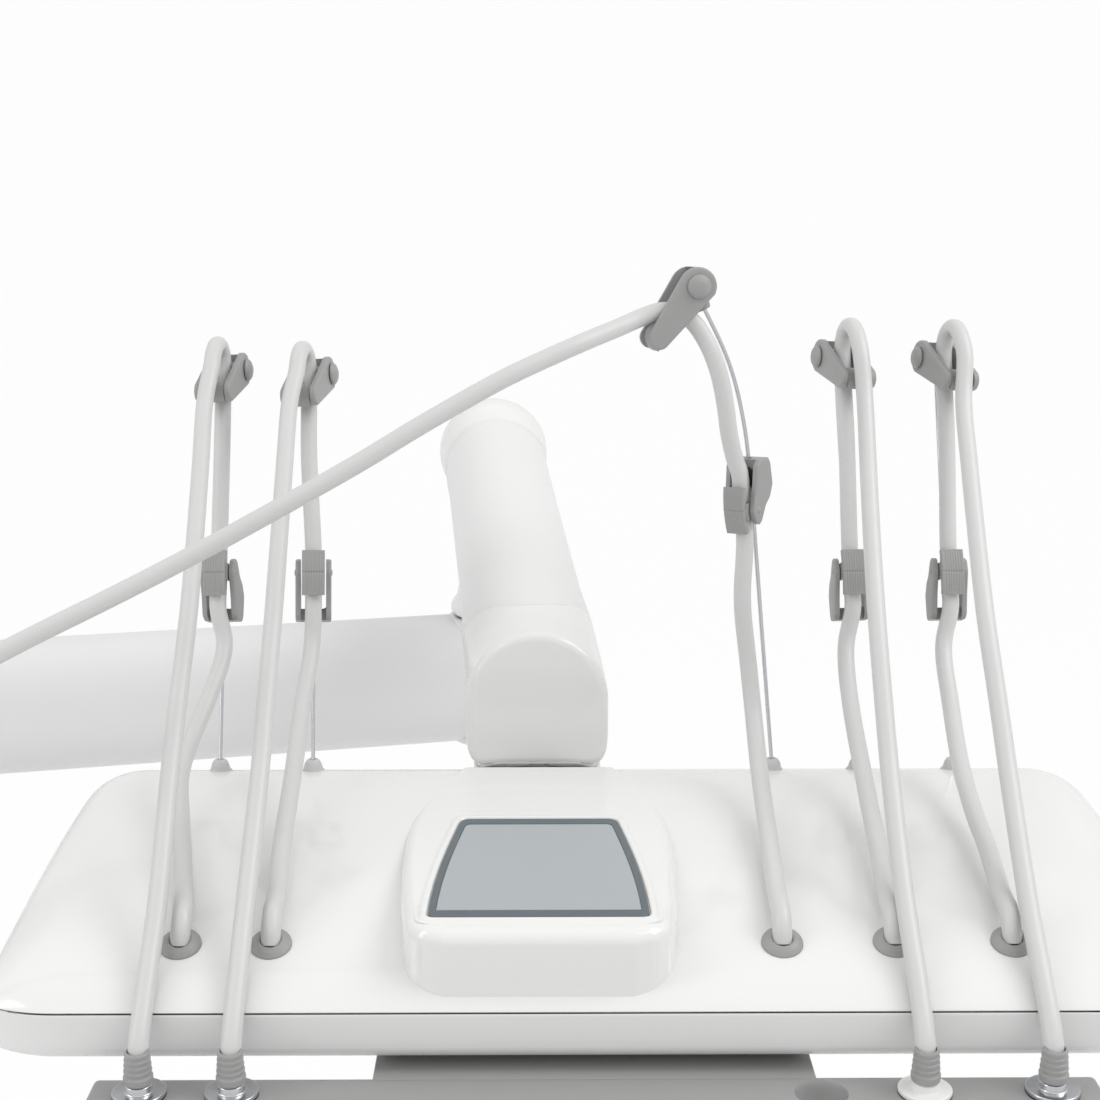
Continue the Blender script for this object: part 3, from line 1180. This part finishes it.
# ---- stage, in metres: a pale floor that rises into a backdrop ----
def floor_material():
    """Matt white that the camera alone sees as mostly self-lit."""
    mat = bpy.data.materials.new("floor")
    mat.use_nodes = True
    nodes, link = mat.node_tree.nodes, mat.node_tree.links.new
    matt = nodes["Principled BSDF"]
    matt.inputs["Base Color"].default_value = (0.9, 0.9, 0.9, 1)
    matt.inputs["Roughness"].default_value = 0.9
    glow = nodes.new("ShaderNodeEmission")
    glow.inputs["Strength"].default_value = 1.0
    glow.inputs["Color"].default_value = (1, 1, 1, 1)
    lit = nodes.new("ShaderNodeMixShader")
    lit.inputs["Fac"].default_value = 0.9
    link(matt.outputs["BSDF"], lit.inputs[1])
    link(glow.outputs["Emission"], lit.inputs[2])
    light_path = nodes.new("ShaderNodeLightPath")
    seen = nodes.new("ShaderNodeMixShader")
    link(light_path.outputs["Is Camera Ray"], seen.inputs["Fac"])
    link(matt.outputs["BSDF"], seen.inputs[1])
    link(lit.outputs["Shader"], seen.inputs[2])
    link(seen.outputs["Shader"], nodes["Material Output"].inputs["Surface"])
    return mat


def build_floor():
    mat = floor_material()
    floor_z, bend_y, bend_r = -0.45, 2.6, 1.4
    profile = [(-6.0, floor_z), (bend_y, floor_z)]
    profile += [(bend_y + bend_r * math.sin(a), floor_z + bend_r - bend_r * math.cos(a))
                for a in np.linspace(0.1, math.pi / 2, 14)]
    profile.append((bend_y + bend_r, 5.0))
    points = [(x, y, z) for y, z in profile for x in (-7, 8)]
    faces = [[2 * k, 2 * k + 1, 2 * k + 3, 2 * k + 2] for k in range(len(profile) - 1)]
    mesh = bpy.data.meshes.new("floor")
    mesh.from_pydata(points, [], faces)
    ob = bpy.data.objects.new("floor", mesh)
    bpy.context.scene.collection.objects.link(ob)
    mesh.materials.append(mat)
    mesh.polygons.foreach_set("use_smooth", [True] * len(mesh.polygons))


build_floor()


# ---- light ----
def build_world():
    """White to the camera; as a light it is brighter from above than from below."""
    world = bpy.data.worlds.new("studio")
    bpy.context.scene.world = world
    world.use_nodes = True
    nodes, link = world.node_tree.nodes, world.node_tree.links.new
    background = nodes["Background"]
    light_path = nodes.new("ShaderNodeLightPath")
    coords = nodes.new("ShaderNodeTexCoord")
    split = nodes.new("ShaderNodeSeparateXYZ")
    link(coords.outputs["Generated"], split.inputs["Vector"])
    ramp = nodes.new("ShaderNodeMapRange")
    for socket, value in (("From Min", -0.6), ("From Max", 0.9),
                          ("To Min", 0.62), ("To Max", 0.98)):
        ramp.inputs[socket].default_value = value
    link(split.outputs["Z"], ramp.inputs["Value"])
    mix = nodes.new("ShaderNodeMix")
    mix.data_type = "FLOAT"
    link(light_path.outputs["Is Camera Ray"], mix.inputs["Factor"])
    link(ramp.outputs["Result"], mix.inputs["A"])
    mix.inputs["B"].default_value = 1.0
    link(mix.outputs["Result"], background.inputs["Strength"])
    background.inputs["Color"].default_value = (1, 1, 1, 1)


def area(name, location, target, size, size_y, power):
    light = bpy.data.lights.new(name, "AREA")
    light.shape = "RECTANGLE"
    light.size, light.size_y = size, size_y
    light.energy = power
    ob = bpy.data.objects.new(name, light)
    bpy.context.scene.collection.objects.link(ob)
    ob.location = location
    direction = Vector(target) - Vector(location)
    ob.rotation_euler = direction.to_track_quat("-Z", "Y").to_euler()
    ob.visible_camera = False


build_world()
area("key", location=(2.3, -0.6, 2.0), target=(0.62, -0.1, 0.3), size=1.3, size_y=1.3, power=20)
area("rim_left", location=(-1.0, -0.9, 1.3), target=(0.6, -0.1, 0.3), size=0.5, size_y=1.6,
     power=7)

# ---- camera: in front of the console, looking back and down ----
lens = bpy.data.cameras.new("camera")
lens.sensor_width = 36.0
lens.lens = 58.91
lens.clip_start, lens.clip_end = 0.05, 50
camera = bpy.data.objects.new("camera", lens)
bpy.context.scene.collection.objects.link(camera)
camera.location = (0.620, -1.405, 0.585)
pitch, yaw = math.radians(12.53), math.radians(0.38)
look = Vector((math.sin(yaw) * math.cos(pitch), math.cos(yaw) * math.cos(pitch),
               -math.sin(pitch)))
camera.rotation_euler = look.to_track_quat("-Z", "Y").to_euler()
bpy.context.scene.camera = camera
bpy.context.scene.view_settings.view_transform = "Standard"
bpy.context.scene.view_settings.look = "None"

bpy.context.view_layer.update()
